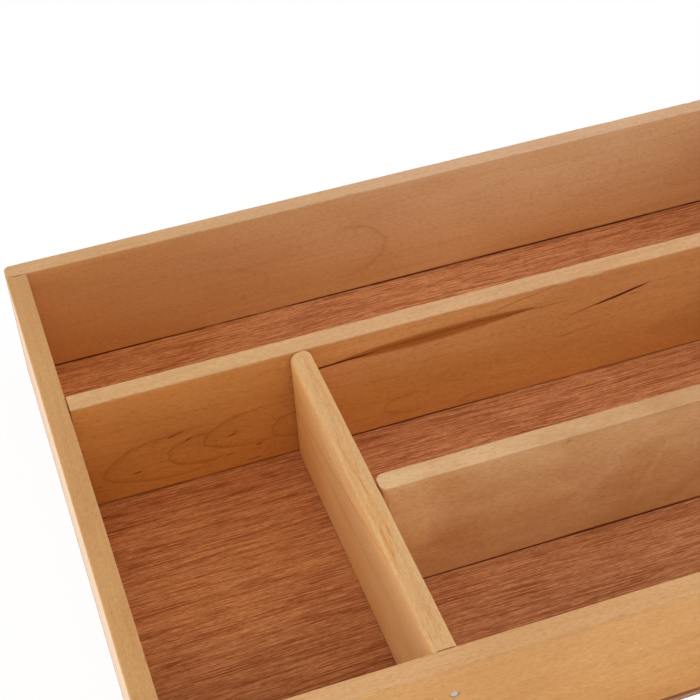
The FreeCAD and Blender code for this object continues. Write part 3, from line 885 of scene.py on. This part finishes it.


# An arch is its apex along and up, then reach, rise, fall, fade and strength.
# Each stain, and each band of painted shade or light, is start, end, half width, softness, strength and
# tint.

finishes = {
    "back_wall": hardwood(
        "back_wall_wood", False, 11,
        face=((0.580, 0.272, 0.096), (0.710, 0.420, 0.212)),
        top=((0.560, 0.327, 0.152), (0.570, 0.345, 0.198)), span=(-170, 60),
        rings=((0, 150, 26), -0.05, 0.03, 3.4, 6.0),
        lines=0.14, streaks=0.2, flecks=0.2,
        arches=(
            (-17.5, 25, -20, 12, 13, 0.3, 0.35),
            (92, 33, -16, 11, 9.5, 3.0, 0.14),
            (84, 34, -7, 4.5, 4, 3.0, 0.14),
            (-70, 20, -34, 12, 9, 0.4, 0.2),
        ),
        stains_and_shading=(
            # painted shade: wide darker bands low on the face near the left wall and along its lower right
            # part
            *on_face(
                BACK_NEAR,
                (-240, 8, -90, 2, 15.0, 1.0, 0.8, (0.93, 0.85, 0.70)),
                (-10, 3.0, 150, 9.0, 6.0, 1.0, 0.8, (0.94, 0.86, 0.78)),
            ),
            # painted shade along the crease at the foot
            *on_face(
                BACK_FACE,
                (-70, 3.6, 200, 3.6, 0.85, 0.6, 0.8, PAINTED_CREASE_SHADE),
                (-190, 3.5, -90, 3.5, 0.5, 0.7, 0.6, PAINTED_CREASE_SHADE),
            ),
        ),
    ),
    "front_wall": hardwood(
        "front_wall_wood", False, 12,
        face=((0.640, 0.335, 0.115), (0.660, 0.355, 0.125)),
        top=((0.580, 0.330, 0.145), (0.580, 0.330, 0.145)), span=(-160, 160),
        rings=((0, -100, 40), 0.04, 0.01, 3.0, 5.0),
        lines=0.25,
    ),
    "left_wall": hardwood(
        "left_wall_wood", True, 13,
        face=((0.680, 0.400, 0.170), (0.680, 0.400, 0.170)),
        top=((0.505, 0.268, 0.096), (0.505, 0.268, 0.096)), span=(-100, 100),
        rings=((0, 150, 60), 0.02, 0.0, 2.6, 4.0),
        lines=0.2, streaks=0.2, sheen=0.8,
        stains_and_shading=(
            ((-109.0, 172.5, RIM), (-106.5, 172.5, RIM), 0.8, 0.8, 0.8, RUSSET),
            ((117.3, 166.0, RIM), (117.3, 176.0, RIM), 0.4, 0.8, 0.9, DARK_LINE),
        ),
    ),
    "right_wall": hardwood(
        "right_wall_wood", True, 14,
        face=((0.640, 0.335, 0.115), (0.650, 0.345, 0.120)),
        top=((0.570, 0.320, 0.135), (0.570, 0.320, 0.135)), span=(-100, 100),
        rings=((0, -140, 10), 0.05, 0.02, 2.8, 4.0),
        lines=0.25,
    ),
    "long_divider": hardwood(
        "long_divider_wood", False, 15,
        # the face's colour is more saturated left of the cross divider: painted shade of the closed left bay
        face=((0.620, 0.268, 0.070), (0.620, 0.282, 0.096)),
        top=((0.560, 0.322, 0.144), (0.575, 0.335, 0.160)), span=(-100, -60),
        rings=((0, 60, 17), 0.05, -0.03, 2.6, 5.0),
        lines=0.16, streaks=0.22, painted_low_shading=(0.97, 0.88, 0.66), painted_foot_shade=0.6,
        arches=(
            (-159.3, 16.0, 32, 13.3, 8.0, 0.6, 0.55),
            (-134.9, 19.0, 14, 6.0, 8.3, 0.7, 0.6),
            (-120.3, 19.8, 24, 10.4, 6.3, 0.5, 0.6),
            (-94.6, 17.0, 20, 8.0, 6.0, 0.5, 0.5),
            (-49.6, 12.6, 13, 4.8, 5.0, 0.5, 0.45),
            (-17.9, 6.2, 16, 3.0, 3.0, 0.5, 0.4),
        ),
        stains_and_shading=on_face(
            LONG_FACE,
            (-134.5, 27.3, -130.5, 28.2, 0.42, 0.6, 0.9, DARK_LINE),
            (-131.5, 28.3, -127.5, 28.8, 0.30, 0.6, 0.7, DARK_LINE),
            (-128.3, 23.7, -125.0, 24.8, 0.38, 0.6, 0.8, DARK_LINE),
            (-111.5, 20.3, -107.3, 20.9, 0.42, 0.6, 0.95, DARK_LINE),
            (-110.0, 21.5, -106.3, 22.0, 0.30, 0.6, 0.7, DARK_LINE),
            (-149.0, 14.2, -145.0, 14.7, 0.42, 0.6, 0.9, DARK_LINE),
            (-101.6, 12.2, -98.0, 12.7, 0.40, 0.6, 0.9, DARK_LINE),
            (-113.5, 11.0, -109.5, 11.3, 0.32, 0.6, 0.7, DARK_LINE),
            (-106.0, 5.6, -99.0, 6.0, 0.36, 0.6, 0.7, DARK_LINE),
            (-165.5, 12.1, -160.0, 12.4, 0.32, 0.7, 0.6, RUSSET),
            (-165.5, 9.8, -159.0, 10.0, 0.32, 0.7, 0.6, RUSSET),
            (-86.0, 41.4, -50.0, 42.7, 0.62, 0.5, 1.0, SLIT),
            (-68.0, 42.6, 14.0, 44.0, 3.20, 0.45, 1.0, (0.63, 0.45, 0.24)),
            (-55.0, 43.0, -5.0, 44.2, 1.00, 0.9, 0.6, (0.62, 0.44, 0.25)),
            (-12.0, 43.9, 27.0, 43.0, 0.55, 0.8, 0.65, RUSSET),
            (-8.0, 46.6, 23.0, 52.0, 0.55, 0.9, 0.55, RUSSET),
            (26.0, 34.8, 66.0, 42.3, 0.45, 0.6, 0.95, DARK_LINE),
            (38.0, 36.7, 62.0, 41.5, 0.62, 0.45, 1.0, SLIT),
            (52.0, 37.5, 58.5, 37.9, 0.30, 0.7, 0.7, RUSSET),
            (23.0, 25.8, 30.5, 25.6, 0.35, 0.7, 0.7, RUSSET),
            (26.0, 26.4, 44.0, 27.5, 0.5, 0.9, 0.4, RUSSET),
            (-28.5, 38.2, -25.5, 38.4, 0.32, 0.6, 0.6, RUSSET),
            (67.5, 41.1, 73.0, 41.8, 0.30, 0.7, 0.5, RUSSET),
            # painted shade along the crease at the foot
            (-82.0, 3.6, 0.0, 3.6, 0.6, 0.7, 0.8, DARK_LINE),
            # painted light in a band under the rim, painted shade low in the left bay, and the painted
            # shadow of the right wall on the right part
            (-84.0, 47.0, 30.0, 50.0, 5.0, 1.0, 0.8, (1.08, 1.14, 1.10)),
            (-86.0, 20.0, 5.0, 24.0, 15.0, 1.0, 0.8, (0.96, 0.94, 0.74)),
            (60.0, 16.0, 185.0, 20.0, 20.0, 1.0, 0.8, (0.84, 0.82, 0.80)),
            (78.2, 46.5, 80.2, 46.6, 0.5, 0.7, 0.6, RUSSET),
        ),
    ),
    "short_divider": hardwood(
        "short_divider_wood", False, 16,
        face=((0.735, 0.440, 0.205), (0.725, 0.430, 0.200)),
        top=((0.600, 0.375, 0.190), (0.480, 0.265, 0.118)), span=(-76, 60),
        rings=((0, -20, -60), 0.02, 0.0, 4.0, 6.0),
        lines=0.06, streaks=0.05, patch=15.0, cloudy=0.9, flecks=0.2, painted_low_shading=(0.84, 0.76, 0.66),
        stains_and_shading=(
            *on_face(
                SHORT_FACE,
                (-9.6, 50.9, -7.4, 51.5, 0.6, 0.8, 0.6, RUSSET),
                # wide rows: the face darker through its middle and its lower right, and paler along two
                # slanting bands
                (-62.0, 20.0, -4.0, 24.0, 13.0, 1.0, 0.8, (0.91, 0.80, 0.70)),
                (2.0, 24.0, 58.0, 26.0, 15.0, 1.0, 0.8, (0.92, 0.84, 0.76)),
                (30.0, 6.0, 58.0, 30.0, 6.0, 1.0, 0.7, (0.88, 0.76, 0.66)),
                (17.0, 8.0, 30.0, 38.0, 2.6, 1.0, 0.7, (1.12, 1.14, 1.16)),
                (-80.0, 8.0, -60.0, 34.0, 8.0, 1.0, 0.8, (1.12, 1.16, 1.10)),
                # painted shade along the crease at the foot
                (-50.0, 3.7, 200.0, 3.7, 1.1, 0.6, 0.85, (0.42, 0.16, 0.08)),
            ),
            ((-74.6, SHORT_FACE + 0.5, 52.0), (-74.2, SHORT_FACE + 0.1, 22.0), 0.8, 0.9, 0.5, RUSSET),
        ),
    ),
    "cross_divider": hardwood(
        "cross_divider_wood", True, 17,
        # the face is paler than the top: partly the wood, partly painted light from the left
        face=((0.680, 0.406, 0.182), (0.655, 0.347, 0.114)),
        top=((0.575, 0.345, 0.152), (0.575, 0.340, 0.148)), span=(-20, 28),
        rings=((0, 21, 10), 0.05, -0.20, 2.3, 3.0),
        lines=0.45, line_tint=(0.92, 0.60, 0.32), thinness=2.6, streaks=0.12, ring_tone=0.06, flecks=0.12,
        # the tint lightens the lower face: painted light
        painted_low_shading=(1.18, 1.16, 1.06), painted_foot_shade=0.5,
        stains_and_shading=(
            ((6, 86.6, 51.5), (-24, 83.8, RIM), 1.0, 0.8, 0.8, ORANGE),
            ((-12, 84.8, RIM), (-78, 82.8, RIM), 1.0, 0.8, 0.85, ORANGE),
            ((-60, 82.2, RIM), (-92, 85.4, RIM), 1.0, 0.8, 0.8, ORANGE),
            ((-4, 84.4, RIM), (-50, 81.0, RIM), 0.85, 0.8, 0.75, ORANGE),
            ((-38, 81.6, RIM), (-72, 80.6, RIM), 0.85, 0.8, 0.8, ORANGE),
            ((-60, 80.0, RIM), (-94, 85.6, RIM), 0.85, 0.8, 0.8, ORANGE),
            ((34, 81.0, RIM), (-14, 78.6, RIM), 0.75, 0.8, 0.6, ORANGE),
            *on_face(
                CROSS_FACE,
                (32, 28.5, -6, 23.5, 1.1, 0.8, 0.9, ORANGE),
                (12, 23.0, -70, 31.5, 1.3, 0.8, 0.9, ORANGE),
                (26, 29.0, -28, 39.0, 1.1, 0.8, 0.9, ORANGE),
                (-10, 35.0, -84, 53.0, 1.3, 0.8, 0.9, ORANGE),
                # painted shade in the corner against the long divider
                (28.6, 4, 28.6, 52, 0.50, 0.9, 0.6, RUSSET),
            ),
        ),
    ),
}

# Shapes of a board's end: radius of its upright corners, and how far the rim's rounding goes on there

SQUARE = (0.3, 0.15)
SOFT_END = (0.9, 0.3)
ROUND = (2.8, 0.5)
CORNER = (2.5, 1.0)
LONG_DENTS = ((25.5, -1, 2.5, 0.9), (37.5, -1, 2.0, 1.1), (-33.0, -1, 1.0, 0.8), (12.0, -1, 1.2, 0.5))

boards = {
    "back_wall": Board("back_wall", False, (CORNER, CORNER), 1),
    "front_wall": Board("front_wall", False, (CORNER, CORNER), 2),
    "left_wall": Board("left_wall", True, (SQUARE, SOFT_END), 3),
    "right_wall": Board("right_wall", True, (SQUARE, SOFT_END), 4),
    "long_divider": Board("long_divider", False, (SQUARE, SQUARE), 5, dents=LONG_DENTS),
    "short_divider": Board("short_divider", False, (ROUND, SQUARE), 6),
    "cross_divider": Board("cross_divider", True, (SQUARE, ROUND), 7, top=1.5, left_more=1.3),
}

# The axis and direction in which each wall faces outwards, and the pins whose heads are in that face

pinned = {
    "back_wall": (1, 1, ("corner_pins_back_left", "corner_pins_back_right")),
    "front_wall": (1, -1, ("corner_pins_front_left", "corner_pins_front_right", "cross_divider_pins_front")),
    "left_wall": (0, -1, ("long_divider_pins_left",)),
    "right_wall": (0, 1, ("long_divider_pins_right", "short_divider_pins_right")),
}

for node, board in boards.items():
    piece = board.build(node + "_board")
    if node in pinned:
        axis, sign, pins = pinned[node]
        punch_holes(piece, heads(pins, axis, sign, board.middle + sign * board.half))
    finish_board(piece, node, finishes[node])

panel = Board(
    "bottom_panel", False, (CORNER, CORNER), 9, top=0.4, levels=PANEL_LEVELS, cap_parts=40, uneven=False
)
piece = panel.build("bottom_panel_sheet")
pins_below = [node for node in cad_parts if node.startswith("panel_pins")]
punch_holes(piece, heads(pins_below, 2, -1, 0.0))
finish_board(piece, "bottom_panel", plywood())

steel = pin_steel()
for name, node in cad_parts.items():
    if "pins" in name:
        node.data.materials.clear()
        node.data.materials.append(steel)


# Stage: pale floor, soft lamps

FLOOR_HALF = 2.5
FLOOR_WHITE = 0.92  # the part of the floor's colour that is plain white, where it is seen
ROOM_LIGHT = 0.62
LAMP_COLOUR = (1.0, 0.99, 0.975)


def white_where_seen(tree, emitter, surface, part=1.0):
    """Shows white to the camera and in reflections, and keeps the surface's own light otherwise."""
    rays = place(tree, "ShaderNodeLightPath").outputs
    mirrored = calc(tree, "MAXIMUM", rays["Is Glossy Ray"], rays["Is Transmission Ray"])
    seen = calc(tree, "MAXIMUM", rays["Is Camera Ray"], mirrored)
    white = place(tree, emitter, {"Color": (1, 1, 1, 1), "Strength": 1.0})
    amount = calc(tree, "MULTIPLY", seen, part)
    return place(tree, "ShaderNodeMixShader", {0: amount, 1: surface, 2: white.outputs[0]}).outputs[0]


def stage_floor():
    half = FLOOR_HALF
    corners = [(-half, -half, 0), (half, -half, 0), (half, half, 0), (-half, half, 0)]
    data = bpy.data.meshes.new("floor")
    data.from_pydata(corners, [], [(0, 1, 2, 3)])
    floor = bpy.data.objects.new("floor", data)
    bpy.context.scene.collection.objects.link(floor)
    material = bpy.data.materials.new("white_paper")
    material.use_nodes = True
    tree = material.node_tree
    tree.nodes.clear()
    spot = place(tree, "ShaderNodeTexCoord").outputs["Object"]
    fibres = cloud(tree, stretched(tree, spot, (60, 60, 60)), (1, 2, 3))
    tint = blend(tree, fibres, (0.93, 0.93, 0.93, 1), (0.95, 0.95, 0.95, 1))
    paper = place(tree, "ShaderNodeBsdfDiffuse", {"Color": tint}).outputs[0]
    shown = white_where_seen(tree, "ShaderNodeEmission", paper, FLOOR_WHITE)
    place(tree, "ShaderNodeOutputMaterial", {0: shown})
    data.materials.append(material)


def stage_room():
    world = bpy.data.worlds.new("pale_room")
    bpy.context.scene.world = world
    world.use_nodes = True
    tree = world.node_tree
    tree.nodes.clear()
    room = place(tree, "ShaderNodeBackground", {"Color": (1.0, 0.99, 0.98, 1), "Strength": ROOM_LIGHT})
    shown = white_where_seen(tree, "ShaderNodeBackground", room.outputs[0])
    place(tree, "ShaderNodeOutputWorld", {0: shown})


def lamp(name, at, towards, size, power):
    """A soft box of size in metres and power in watts."""
    data = bpy.data.lights.new(name, "AREA")
    data.shape = "RECTANGLE"
    data.size, data.size_y = size
    data.energy = power
    data.color = LAMP_COLOUR
    made = bpy.data.objects.new(name, data)
    made.location = at
    made.rotation_mode = "QUATERNION"
    made.rotation_quaternion = (Vector(towards) - Vector(at)).to_track_quat("-Z", "Y")
    bpy.context.scene.collection.objects.link(made)


photo_camera()
stage_floor()
stage_room()
lamp("front_softbox", (-0.05, -0.95, 1.12), (0, 0, 0), (1.2, 1.0), 4.2)
lamp("left_softbox", (-1.05, 0.0, 1.05), (0, 0, 0), (1.2, 1.0), 2.0)
lamp("right_softbox", (1.05, 0.0, 1.05), (0, 0, 0), (1.2, 1.0), 2.5)
lamp("left_low_softbox", (-1.40, -0.1, 0.5), (0, 0, 0), (1.4, 0.7), 8.0)
lamp("left_floor_softbox", (-1.30, 0.25, 0.13), (0, 0, 0.03), (1.2, 0.2), 4.0)
lamp("right_low_softbox", (1.40, 0.0, 0.5), (0, 0, 0), (1.4, 0.7), 13.0)

bpy.context.scene.view_settings.view_transform = "Standard"
